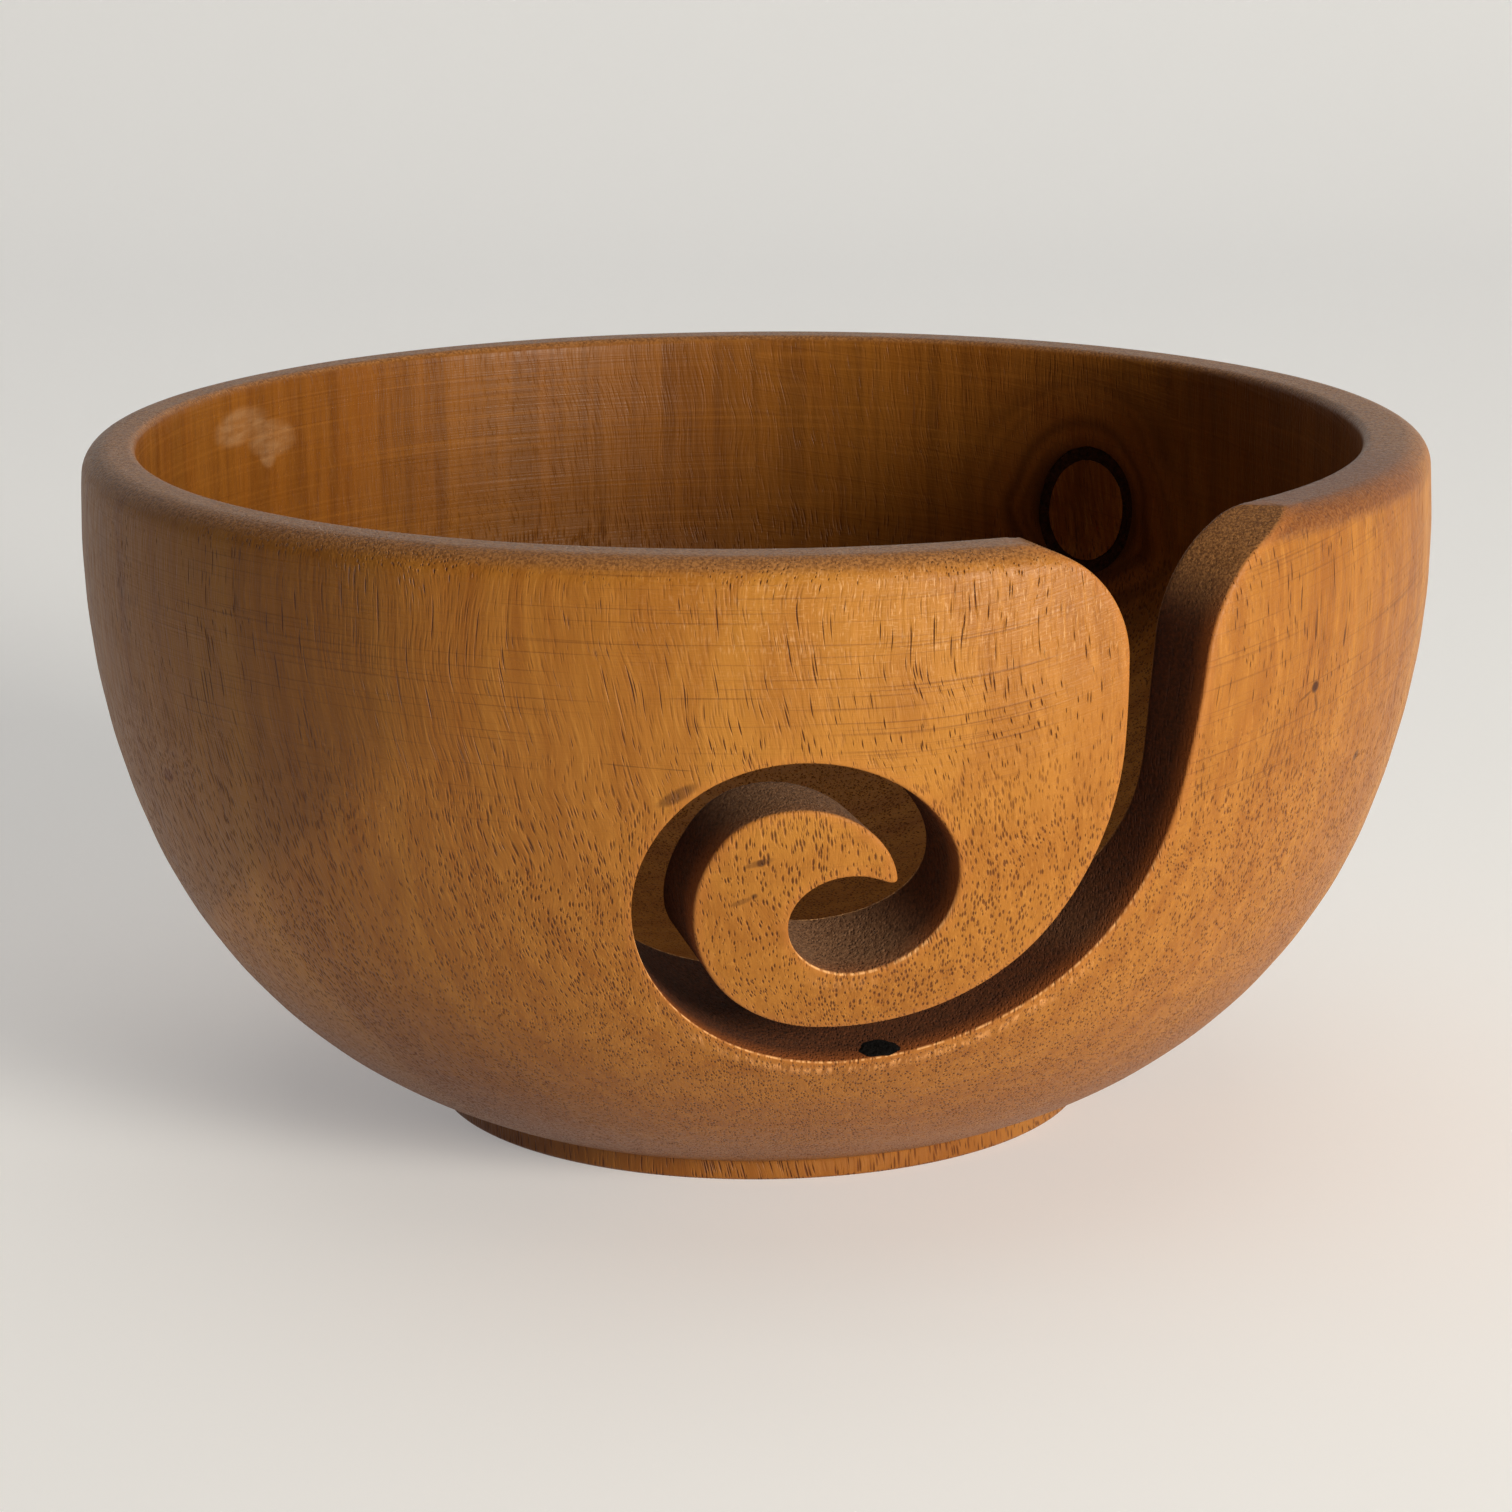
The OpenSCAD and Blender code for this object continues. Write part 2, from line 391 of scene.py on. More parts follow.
def window_of(*loops):
    """Columns and rows round loops, with a margin."""
    theta = np.concatenate([lp[:, 0] for lp in loops])
    s = np.concatenate([lp[:, 1] for lp in loops])
    c = theta / (2 * np.pi) * COLUMNS
    return (math.floor(c.min()) - 3, math.ceil(c.max()) + 3,
            int(np.searchsorted(ROW_S, s.min())) - 4, int(np.searchsorted(ROW_S, s.max())) + 3)


def knot_loop(radius, steps=72):
    """A slightly oval bar through the back wall: its rings on the outside and on the hollow's wall."""
    a = np.linspace(0, 2 * np.pi, steps, endpoint=False)
    out = np.array([math.sin(KNOT_TURN), math.cos(KNOT_TURN), 0])
    across = np.array([math.cos(KNOT_TURN), -math.sin(KNOT_TURN), 0])
    wobble = 1.03 + 0.09 * np.cos(2 * a - math.radians(150)) + 0.03 * np.sin(a + 2)
    ring = radius * wobble[:, None] * (np.cos(a)[:, None] * across + np.sin(a)[:, None] * np.array([0, 0, 1]))
    start = MEAN_R * out + np.array([0, 0, KNOT_Z]) + ring
    way = np.broadcast_to(out, start.shape)
    leave, enter = through(start, way)
    return [place(start + lam[:, None] * way) for lam in (leave, enter)]


def make_bowl():
    skin = Skin()
    rows = len(ROW_S)
    theta = 2 * np.pi * np.arange(COLUMNS) / COLUMNS
    grid = []
    for r in range(rows):
        if r in (0, rows - 1):
            grid.append(skin.add(surface(np.zeros(1), ROW_S[r:r + 1])) * COLUMNS)
        else:
            grid.append(skin.add(surface(theta, np.full(COLUMNS, ROW_S[r]))))

    # The slot: one row of points across the wall for each cut line
    start, way, leave, enter = cut_lines(0)
    start_e, way_e, leave_e, enter_e = cut_lines(EASE)
    kept = np.flatnonzero(~np.isnan(leave_e))
    out_e = start_e[kept] + leave_e[kept, None] * way_e[kept]
    in_e = start_e[kept] + enter_e[kept, None] * way_e[kept]
    (th_o, s_o), (th_i, s_i) = place(out_e), place(in_e)
    out_e, in_e = surface(th_o, s_o), surface(th_i, s_i)
    row_ids, loop_rows = [], {}
    for k, i in enumerate(kept):
        length = leave[i] - enter[i]
        if np.isnan(length) or length < SHORTEST_CUT:
            t = np.linspace(0, 1, FACE_STEPS + 9)[1:-1]
            th, ss = th_o[k] + (th_i[k] - th_o[k]) * t, s_o[k] + (s_i[k] - s_o[k]) * t
            middle = skin.add(surface(th, ss), (0, 0.6))
            loop_rows[k] = np.column_stack([th, ss, middle])
        else:
            a, b = start[i] + leave[i] * way[i], start[i] + enter[i] * way[i]
            depth = min(EASE, 0.45 * length)
            deep_a, deep_b = a - depth * way[i], b + depth * way[i]
            middle = []
            for t in (0.25, 0.5, 0.75):
                bend = (1 - t) ** 2 * out_e[k] + 2 * t * (1 - t) * a + t * t * deep_a
                middle += skin.add(bend, (t * t, 1))
            for t in np.linspace(0, 1, FACE_STEPS + 1):
                middle += skin.add(deep_a + t * (deep_b - deep_a), (1, 0.4 if t in (0, 1) else 0))
            for t in (0.75, 0.5, 0.25):
                bend = (1 - t) ** 2 * in_e[k] + 2 * t * (1 - t) * b + t * t * deep_b
                middle += skin.add(bend, (t * t, 1))
        first, last = skin.add(out_e[k], (0, 1))[0], skin.add(in_e[k], (0, 1))[0]
        row_ids.append([first] + middle + [last])
    for a, b in zip(row_ids, row_ids[1:]):
        for p, q, r, t in zip(a, a[1:], b[1:], b):
            skin.faces.append((p, q, r, t))
    outside = np.column_stack([th_o, s_o, [r[0] for r in row_ids]])
    back = np.column_stack([th_i, s_i, [r[-1] for r in row_ids]])[::-1]
    final = len(kept) - 1
    slot_loop = np.vstack([outside, loop_rows[final], back, loop_rows[0][::-1]])
    slot_loop[:, 0] = np.mod(slot_loop[:, 0], 2 * np.pi)

    # The knot's bark opens the wall on both sides
    knot = []
    for th, ss in knot_loop(KNOT_R + BARK_T):
        ids = skin.add(surface(th, ss))
        knot.append(np.column_stack([np.mod(th, 2 * np.pi), ss, ids]))
    windows = [(window_of(slot_loop), [slot_loop])] + [(window_of(lp), [lp]) for lp in knot]
    taken = np.zeros((rows, COLUMNS), bool)
    for (c0, c1, r0, r1), loops in windows:
        taken[r0:r1, c0:c1] = True
        fill(skin, grid, (c0, c1, r0, r1), loops)
    n = len(knot[0])
    for k in range(n):
        j = (k + 1) % n
        skin.faces.append(tuple(int(v) for v in (knot[0][k, 2], knot[0][j, 2], knot[1][j, 2], knot[1][k, 2])))
    for r in range(rows - 1):
        for c in range(COLUMNS):
            if taken[r, c]:
                continue
            d = (c + 1) % COLUMNS
            face = (grid[r][c], grid[r][d], grid[r + 1][d], grid[r + 1][c])
            skin.faces.append(tuple(dict.fromkeys(face)))
    return skin.object("turned_bowl")


def make_plug(name, radius, inner, sink):
    """A round plug or sleeve in the back wall, following the wall's surfaces and sunk by a hair."""
    skin = Skin()
    outer_rings = knot_loop(radius - PLUG_ROOM)
    radii = np.linspace(1, 0, 9)[:-1] if inner is None else np.linspace(1, inner / radius, 4)
    walls = []
    for th, ss in outer_rings:
        mid_th, mid_s = th.mean(), ss.mean()
        rings = []
        for f in radii:
            t = mid_th + (th - mid_th) * f
            u = mid_s + (ss - mid_s) * f
            p = surface(t, u)
            x = p[:, :2] / np.linalg.norm(p[:, :2], axis=1)[:, None]
            sign = -1 if mid_s < S_RIM_OUT else 1
            grain = 0.06 * np.sin(9 * np.arctan2(u - mid_s, MEAN_R * (t - mid_th)) + 5 * f)
            dish = 0.4 + 0.6 * np.sin(np.pi * min(1, 1.6 * f))
            p[:, :2] += sign * (sink * dish + 0.3 * sink * grain)[:, None] * x
            rings.append(skin.add(p))
        if inner is None:
            centre = skin.add(surface(np.array([mid_th]), np.array([mid_s])))[0]
            last = rings[-1]
            skin.faces.extend((last[k], last[(k + 1) % len(last)], centre) for k in range(len(last)))
        for a, b in zip(rings, rings[1:]):
            skin.faces.extend((a[k], a[(k + 1) % len(a)], b[(k + 1) % len(a)], b[k]) for k in range(len(a)))
        walls.append(rings)
    edges = [0] if inner is None else [0, -1]
    for e in edges:
        a, b = walls[0][e], walls[1][e]
        skin.faces.extend((a[k], a[(k + 1) % len(a)], b[(k + 1) % len(a)], b[k]) for k in range(len(a)))
    return skin.object(name)


def make_inclusion():
    """A cracked black lump in the slot's lower face."""
    skin = Skin()
    u, v, w = INCLUSION_PLACE
    centre = SLOT_MIDDLE + u * SLOT_X + v * SLOT_Y + w * SLOT_OUT
    along = math.cos(LOWER_FACE_TURN) * SLOT_X + math.sin(LOWER_FACE_TURN) * SLOT_Y
    level = math.cos(LOWER_FACE_TURN) * SLOT_Y - math.sin(LOWER_FACE_TURN) * SLOT_X
    up = math.cos(LOWER_FACE_SLOPE) * level + math.sin(LOWER_FACE_SLOPE) * SLOT_OUT
    outwards = np.cross(along, up)
    outwards *= math.copysign(1, outwards @ SLOT_OUT)
    long_way = math.cos(INCLUSION_TURN) * along - math.sin(INCLUSION_TURN) * outwards
    short_way = math.sin(INCLUSION_TURN) * along + math.cos(INCLUSION_TURN) * outwards
    rng = np.random.default_rng(4)
    steps, rings = 48, 8
    a = np.linspace(0, 2 * np.pi, steps, endpoint=False)
    wobble = 1 + 0.07 * np.sin(3 * a + 1) + 0.05 * np.sin(7 * a)
    top = []
    for k in range(rings, 0, -1):
        f = k / rings
        rise = 0.05 + 0.14 * (1 - f ** 4) + rng.normal(0, 0.03, steps) * (f < 1)
        p = (centre + (INCLUSION_L / 2 * f * wobble * np.cos(a))[:, None] * long_way
             + (INCLUSION_W / 2 * f * wobble * np.sin(a))[:, None] * short_way + rise[:, None] * up)
        top.append(skin.add(p))
    tip = skin.add(centre + 0.16 * up)[0]
    floor = skin.add(centre - 1.2 * up)[0]
    low_ring = skin.add(np.array(skin.points)[top[0]] - 0.9 * up)
    after = [(k + 1) % steps for k in range(steps)]
    for ring, nxt in zip(top, top[1:]):
        skin.faces.extend((ring[k], ring[j], nxt[j], nxt[k]) for k, j in enumerate(after))
    for k, j in enumerate(after):
        skin.faces.append((top[-1][k], top[-1][j], tip))
        skin.faces.append((top[0][k], top[0][j], low_ring[j], low_ring[k]))
        skin.faces.append((low_ring[k], low_ring[j], floor))
    return skin.object("inclusion")


# ---------------------------------------------------------------- materials
class Nodes:
    """A short way to write node trees."""

    def __init__(self, name):
        self.material = bpy.data.materials.new(name)
        self.material.use_nodes = True
        self.tree = self.material.node_tree
        self.shader = self.tree.nodes["Principled BSDF"]

    def new(self, kind, inputs=(), **settings):
        node = self.tree.nodes.new(kind)
        for key, value in settings.items():
            setattr(node, key, value)
        for key, value in dict(inputs).items():
            self.put(value, node.inputs[key])
        return node

    def put(self, value, socket):
        if isinstance(value, bpy.types.NodeSocket):
            self.tree.links.new(value, socket)
        else:
            socket.default_value = value

    def math(self, operation, *values, clamp=False):
        node = self.new("ShaderNodeMath", dict(enumerate(values)), operation=operation, use_clamp=clamp)
        return node.outputs[0]

    def times(self, a, b):
        return self.math("MULTIPLY", a, b)

    def plus(self, a, b, clamp=False):
        return self.math("ADD", a, b, clamp=clamp)

    def minus(self, a, b):
        return self.math("SUBTRACT", a, b)

    def mix(self, factor, a, b, blend="MIX"):
        node = self.new("ShaderNodeMix", data_type="RGBA", blend_type=blend)
        self.put(factor, node.inputs[0])
        self.put(a, node.inputs[6])
        self.put(b, node.inputs[7])
        return node.outputs[2]

    def ramp(self, value, low_in, high_in, low_out=0.0, high_out=1.0, smooth=True):
        kind = "SMOOTHSTEP" if smooth else "LINEAR"
        return self.new("ShaderNodeMapRange", {0: value, 1: low_in, 2: high_in, 3: low_out, 4: high_out},
                        interpolation_type=kind).outputs[0]

    def noise(self, vector, scale, detail=2.0, roughness=0.5, distortion=0.0):
        return self.new("ShaderNodeTexNoise", {"Vector": vector, "Scale": scale, "Detail": detail,
                                              "Roughness": roughness, "Distortion": distortion}).outputs[0]

    def vector(self, x, y, z):
        return self.new("ShaderNodeCombineXYZ", {0: x, 1: y, 2: z}).outputs[0]

    def attribute(self, name):
        return self.new("ShaderNodeAttribute", attribute_name=name).outputs["Fac"]


def rgb(r, g, b):
    """A linear colour from 8-bit sRGB values."""
    return (*[((c / 255 + 0.055) / 1.055) ** 2.4 if c > 10 else c / 255 / 12.92 for c in (r, g, b)], 1.0)


# Small marks: [start, end, half width, strength, colour]
DARK_MARK, RED_MARK, PALE_MARK = rgb(52, 22, 9), rgb(96, 30, 12), rgb(178, 142, 104)
MARKS = [
    ((-21.9, -71.9, 74.3), (-21.2, -71.9, 74.3), 0.45, 0.9, DARK_MARK),
    ((-1.8, -73.6, 45.4), (1.8, -73.9, 46.5), 0.45, 0.45, DARK_MARK),
    ((-0.3, -73.7, 45.7), (0.7, -73.8, 46.2), 0.50, 0.7, DARK_MARK),
    ((-3.2, -72.3, 41.0), (-0.4, -72.8, 42.2), 0.40, 0.45, DARK_MARK),
    ((-0.9, -72.7, 42.0), (-0.1, -72.9, 42.5), 0.40, 0.75, DARK_MARK),
    ((-10.4, -74.3, 51.8), (-5.6, -75.3, 54.6), 0.75, 0.55, DARK_MARK),
    ((57.6, -49.3, 57.1), (58.5, -48.5, 58.3), 0.75, 0.9, DARK_MARK),
    ((55.6, -51.0, 56.4), (57.9, -49.0, 57.6), 0.2, 0.5, DARK_MARK),
    ((57.9, -49.0, 57.6), (58.8, -47.6, 53.6), 0.45, 0.5, DARK_MARK),
    ((63.6, -37.9, 46.9), (64.5, -36.8, 48.0), 0.7, 0.6, DARK_MARK),
    ((36.2, -65.2, 50.4), (36.9, -65.0, 49.6), 0.35, 0.6, DARK_MARK),
    ((-64.0, -37.0, 46.2), (-62.0, -39.5, 46.8), 0.9, 0.4, RED_MARK),
    ((-24.0, -72.2, 57.6), (4.0, -76.0, 56.4), 0.12, 0.5, DARK_MARK),
    ((-20.0, -73.4, 56.6), (-2.0, -75.9, 55.6), 0.10, 0.4, DARK_MARK),
    ((-34.0, -65.5, 76.8), (-31.0, -67.0, 76.8), 0.6, 0.5, DARK_MARK)]
# A pale smear in the finish on the hollow's left wall: [start, end, half width]
SMEARS = [
    ((-65.0, 25.6, 71.8), (-59.2, 36.9, 72.4), 2.6),
    ((-61.9, 32.3, 70.3), (-56.4, 41.1, 69.2), 2.6),
    ((-60.2, 35.4, 69.8), (-59.0, 37.2, 66.2), 1.8)]


def wood_fields(n):
    """The place in the wood, in millimetres."""
    place_mm = n.new("ShaderNodeVectorMath", {0: n.new("ShaderNodeTexCoord").outputs["Object"], 3: 1000.0},
                     operation="SCALE").outputs[0]
    xyz = n.new("ShaderNodeSeparateXYZ", {0: place_mm}).outputs
    return place_mm, xyz[0], xyz[1], xyz[2]


def knot_distance(n, x, y, z):
    """Distance from the knot's axis, and only on the back wall."""
    along = n.plus(n.times(x, math.sin(KNOT_TURN)), n.times(y, math.cos(KNOT_TURN)))
    across = n.minus(n.times(x, math.cos(KNOT_TURN)), n.times(y, math.sin(KNOT_TURN)))
    up = n.minus(z, KNOT_Z)
    d = n.math("SQRT", n.plus(n.times(across, across), n.times(up, up)))
    return n.plus(d, n.ramp(along, 0, 30, 60, 0)), up


def tubes(n, x, y, z, across_scale, up_scale, thin, thick, crowd, offset):
    """Fine upright tubes as a mask, 1 in a pore and 0 outside, and a wider mask for its groove."""
    cells = n.new("ShaderNodeTexVoronoi", {
        "Vector": n.vector(n.times(n.plus(x, offset), across_scale),
                           n.times(y, across_scale), n.times(z, up_scale)),
        "Scale": 1.0}, feature="F1")
    width = n.ramp(crowd, 0.3, 0.7, thin, thick)
    chance = n.new("ShaderNodeSeparateColor", {0: cells.outputs["Color"]}).outputs[0]
    width = n.times(width, n.ramp(chance, 0.0, 0.8, 0.45, 1.1))
    distance = cells.outputs["Distance"]
    core = n.ramp(distance, n.times(width, 0.6), width, 1.0, 0.0)
    groove = n.ramp(distance, 0.0, n.times(width, 1.5), 1.0, 0.0)
    return core, groove


def outside_depth(n, z, radius):
    """Distance in from the turned outside: the upper curve above the join, the lower one below it."""
    drop = n.minus(n.math("MAXIMUM", z, JOIN_Z), BELLY_Z)
    reach = n.math("SQRT", n.minus(UPPER_R ** 2, n.times(drop, drop)))
    lower_z = n.minus(n.math("MINIMUM", z, JOIN_Z), LOWER_CENTRE[1])
    lower_reach = n.math("SQRT", n.minus(LOWER_R ** 2, n.times(lower_z, lower_z)))
    join_reach = LOWER_R * math.cos(JOIN_ANGLE)
    outer_r = n.plus(n.plus(reach, lower_reach), BELLY_R - UPPER_R - join_reach)
    return n.minus(outer_r, radius)


def streak(n, x, y, z, start, end, radius):
    """A soft mark round the line between two points."""
    start, end = np.array(start), np.array(end)
    middle, way = (start + end) / 2, end - start
    half = np.linalg.norm(way) / 2
    way = way / (2 * half)
    p = n.vector(*[n.minus(c, float(m)) for c, m in zip((x, y, z), middle)])
    t = n.new("ShaderNodeVectorMath", {0: p, 1: tuple(way)}, operation="DOT_PRODUCT").outputs["Value"]
    length = n.new("ShaderNodeVectorMath", {0: p}, operation="LENGTH").outputs["Value"]
    side = n.minus(n.times(length, length), n.times(t, t))
    far = n.math("DIVIDE", n.times(t, t), float(half ** 2))
    return n.ramp(n.plus(n.math("DIVIDE", side, radius ** 2), far), 0.25, 1.1, 1, 0)


def wood(name, base, figure_dark, pore_dark, halo_strength=1.0):
    """End-grain-up hardwood: growth rings as upright sheets, pores as fine upright tubes, satin oil."""
    n = Nodes(name)
    place_mm, x, y, z = wood_fields(n)
    cut, ease = n.attribute("cut"), n.attribute("ease")
    geometry = n.new("ShaderNodeNewGeometry")
    normal_z = n.new("ShaderNodeSeparateXYZ", {0: geometry.outputs["Normal"]}).outputs[2]
    d_knot, up = knot_distance(n, x, y, z)
    near_knot = n.ramp(d_knot, 8, 24, 1, 0)
    wander = n.noise(place_mm, 0.05, 2, 0.5)
    lean = n.times(n.minus(z, 60), 0.12)
    gx = n.plus(x, n.plus(lean, n.times(wander, 6.0)))
    high_up = n.ramp(z, 46, 60)

    # Growth rings lie round an upright pith well in front of the bowl; the knot pushes them aside
    slow = n.noise(n.vector(n.times(x, 0.02), n.times(y, 0.02), n.times(z, 0.012)),
                   1.0, 2, 0.5)
    dx, dy = n.minus(x, 55), n.minus(y, -235)
    ring = n.math("SQRT", n.plus(n.times(dx, dx), n.times(dy, dy)))
    ring = n.plus(ring, n.times(slow, 26))
    ring = n.plus(ring, n.times(near_knot, 9))
    bands = n.noise(n.vector(ring, n.times(z, 0.006), 3.0), 0.30, 3, 0.55)
    broad = n.noise(n.vector(ring, n.times(z, 0.012), 9.0), 0.06, 2, 0.5)
    fibre = n.noise(n.vector(n.times(gx, 2.4), n.times(y, 2.4), n.times(z, 0.16)),
                    1.0, 3, 0.6)
    long_fibre = n.noise(n.vector(n.times(gx, 0.7), n.times(y, 0.7),
                                  n.times(z, 0.025)), 1.0, 3, 0.6)

    # Pores: long dashes where the wall is upright, short ones where it slopes
    crowd = n.noise(n.vector(n.times(x, 0.08), n.times(y, 0.08), n.times(z, 0.03)),
                    1.0, 2, 0.5)
    long_pores, long_groove = tubes(n, gx, y, z, 3.2, 0.080, 0.12, 0.27, crowd, 0.0)
    short_pores, short_groove = tubes(n, gx, y, z, 3.3, 0.32, 0.32, 0.44, crowd, 31.0)
    radius = n.math("SQRT", n.plus(n.times(x, x), n.times(y, y)))
    hollow_side = n.minus(1.0, n.ramp(n.minus(radius, n.times(z, 0.06)), 66, 67.5))
    outside = n.minus(1.0, n.times(hollow_side, n.ramp(z, 40, 50)))
    long_share = n.plus(0.25, n.times(n.times(high_up, outside), 0.75))
    short_share = n.minus(0.8, n.times(high_up, 0.60))
    pores = n.math("MAXIMUM", n.times(long_pores, long_share), n.times(short_pores, short_share))
    groove = n.math("MAXIMUM", n.times(long_groove, long_share),
                    n.times(short_groove, short_share))

    # Sanding marks run round the bowl: rising a little to the right, and nearly level further left
    around = n.times(n.math("ARCTAN2", x, n.times(y, -1.0)), MEAN_R)
    slant = n.ramp(around, 10, 45, 0.0, 0.13)
    tilt = n.minus(z, n.times(around, slant))
    scratch = n.noise(n.vector(n.times(around, 0.03), n.times(tilt, 3.2), 0.0), 1.0, 2, 0.6)
    patches = n.noise(place_mm, 0.05, 1, 0.5)
    upright_wall = n.ramp(z, 40, 52)
    where = n.math("MAXIMUM", n.ramp(patches, 0.40, 0.60), n.ramp(around, 34, 46, 0, 0.8))
    scratches = n.times(n.ramp(scratch, 0.56, 0.68), where)
    scratches = n.times(scratches, upright_wall)

    depth = outside_depth(n, z, radius)

    # Darker, greyer wood on the outside's left, behind a boundary that bends outwards lower down
    left_side = n.times(n.ramp(depth, 1.5, 4.0, 1, 0), n.ramp(around, -150, -105))
    bend = n.math("POWER", n.math("MAXIMUM", n.minus(60, z), 0.0), 1.6)
    boundary = n.minus(-36.0, n.times(bend, 0.17))
    boundary = n.plus(boundary, n.times(wander, 8.0))
    left = n.times(n.ramp(n.minus(boundary, around), -3.0, 7.0), left_side)

    colour = n.mix(n.ramp(bands, 0.36, 0.66), base, figure_dark)
    colour = n.mix(n.ramp(broad, 0.42, 0.68, 0, 0.5), colour, rgb(124, 68, 20))
    colour = n.mix(n.ramp(long_fibre, 0.35, 0.75, 0, 0.45), colour, rgb(175, 115, 45))
    colour = n.mix(n.ramp(fibre, 0.5, 0.8, 0, 0.35), colour, rgb(194, 134, 60))
    colour = n.mix(n.times(left, 0.42), colour, rgb(94, 57, 20))
    # Painted shade: the wall is darkened towards the foot, where less light reaches the underside
    colour = n.mix(n.ramp(z, 4, 30, 0.45, 0), colour, rgb(104, 56, 18))
    # Painted shade: the lower left of the outside, away from the key light, is darkened
    painted_low_left_shade = n.times(n.ramp(z, 8, 36, 0.5, 0), n.times(n.ramp(around, -5, -50), left_side))
    colour = n.mix(painted_low_left_shade, colour, rgb(82, 38, 8))
    swirl = n.plus(d_knot, n.times(n.noise(place_mm, 0.09, 1, 0.5), 7.0))
    halo = n.noise(n.vector(n.times(swirl, 0.42), 0.0, n.times(up, 0.02)), 1.0, 1, 0.5)
    colour = n.mix(n.times(near_knot, 0.55 * halo_strength), colour, rgb(98, 42, 13))
    halo_share = n.times(n.ramp(halo, 0.35, 0.68, 0, 0.65 * halo_strength), near_knot)
    colour = n.mix(halo_share, colour, rgb(46, 17, 6))
    colour = n.mix(n.ramp(d_knot, 6.8, 9.6, 0.7 * halo_strength, 0), colour, rgb(26, 9, 4))
    colour = n.mix(n.times(scratches, 0.45), colour, rgb(92, 50, 20))
    colour = n.mix(n.times(pores, 0.95), colour, pore_dark)
    for start, end, half_width, strength, tint in MARKS:
        colour = n.mix(n.times(streak(n, x, y, z, start, end, half_width), strength), colour, tint)

    # Painted highlight: raised fibres and sanding lines below the rim, right of the middle, are painted pale
    # where they catch the light
    painted_glint_region = n.times(n.ramp(z, 58, 71), n.ramp(around, -20, 8))
    painted_glint_region = n.times(painted_glint_region, n.ramp(around, 62, 30))
    level_painted_glint = n.noise(n.vector(n.times(around, 1.1), n.times(tilt, 5.0), 7.0), 1.0, 1, 0.5)
    level_painted_glint = n.ramp(level_painted_glint, 0.58, 0.72, 0, 0.5)
    upright_painted_glint = n.noise(n.vector(n.times(around, 4.5), 3.0, n.times(z, 0.8)), 1.0, 2, 0.5)
    painted_glint = n.math("MAXIMUM", level_painted_glint, n.ramp(upright_painted_glint, 0.56, 0.72))
    colour = n.mix(n.times(n.times(painted_glint, painted_glint_region), 0.34), colour, rgb(226, 178, 128))

    # The hollow is painted darker as shade inside it, with long faint streaks and level sanding lines
    streaks = n.noise(n.vector(n.times(around, 0.45), 0.0, n.times(z, 0.02)), 1.0, 3, 0.65)
    level = n.noise(n.vector(n.times(around, 0.02), 5.0, n.times(z, 1.6)), 1.0, 2, 0.5)
    hollow_streaks_and_shade = n.mix(n.ramp(streaks, 0.35, 0.65), rgb(90, 47, 9), rgb(116, 66, 16))
    hollow_streaks_and_shade = n.mix(n.ramp(level, 0.5, 0.72, 0, 0.2), hollow_streaks_and_shade, rgb(164, 104, 40))
    hollow_shade_share = n.times(n.minus(1.0, outside), n.ramp(d_knot, 9, 24, 0, 0.75))
    colour = n.mix(hollow_shade_share, colour, hollow_streaks_and_shade)
    smear = 0.0
    for start, end, half_width in SMEARS:
        smear = n.math("MAXIMUM", smear, streak(n, x, y, z, start, end, half_width))
    rubbed = n.noise(n.vector(n.times(x, 0.3), n.times(y, 0.3), z), 1.0, 3, 0.6)
    colour = n.mix(n.times(smear, n.ramp(rubbed, 0.3, 0.7, 0.14, 0.34)), colour, PALE_MARK)

    # The rim's top is dull and stippled, and painted greyer where it faces up, as a reflection of the sky
    stipple = n.noise(place_mm, 3.2, 2, 0.6)
    on_rim = n.times(n.ramp(z, 74.5, 76.3), n.ramp(normal_z, 0.3, 0.8))
    mouth = n.times(n.ramp(z, 64, 74), n.ramp(normal_z, 0.15, 0.8))
    beside_mouth = n.times(n.ramp(around, 42, 52), n.ramp(around, 105, 80))
    low_rim = n.times(beside_mouth, n.ramp(z, 73.6, 75.2))
    on_rim = n.math("MAXIMUM", on_rim, n.times(low_rim, outside))
    rim_tone_and_sheen = n.mix(n.ramp(stipple, 0.35, 0.65), rgb(104, 64, 31), rgb(156, 106, 58))
    colour = n.mix(n.times(on_rim, 0.85), colour, rim_tone_and_sheen)
    colour = n.mix(n.times(n.times(on_rim, beside_mouth), 0.5), colour, rgb(96, 46, 22))

    # Cut faces are dark and rough: partly the sawn wood's own colour, partly painted shade inside the slot.
    # They are painted lighter and warmer close to the outside, where light reaches in, and paler and greyer
    # where they face up, as a painted reflection of the sky that is held back low in the slot, where it lies
    # in shadow
    painted_light_near_outside = n.ramp(depth, 0.2, 2.8, 0.8, 0)
    rough_cut = n.noise(place_mm, 2.6, 4, 0.65)
    saw = n.noise(n.vector(n.plus(x, z), n.times(y, 0.12), n.minus(x, z)), 2.2, 2, 0.5)
    sawn_and_slot_shade = n.mix(n.ramp(rough_cut, 0.3, 0.75), rgb(42, 13, 3), rgb(76, 32, 9))
    sawn_and_slot_shade = n.mix(n.ramp(saw, 0.5, 0.7, 0, 0.45), sawn_and_slot_shade, rgb(30, 11, 3))
    sawn_and_slot_shade = n.mix(painted_light_near_outside, sawn_and_slot_shade, rgb(124, 62, 18))
    painted_upward_sheen = n.mix(n.ramp(rough_cut, 0.3, 0.7), rgb(84, 56, 36), rgb(124, 92, 66))
    painted_upward_sheen_share = n.times(n.ramp(normal_z, 0.25, 0.9), n.ramp(z, 31, 35, 0.08, 0.8))
    sawn_and_slot_shade = n.mix(painted_upward_sheen_share, sawn_and_slot_shade, painted_upward_sheen)
    sawn_and_slot_shade = n.mix(n.times(mouth, 0.92), sawn_and_slot_shade, rim_tone_and_sheen)
    colour = n.mix(n.times(cut, 0.95), colour, sawn_and_slot_shade)
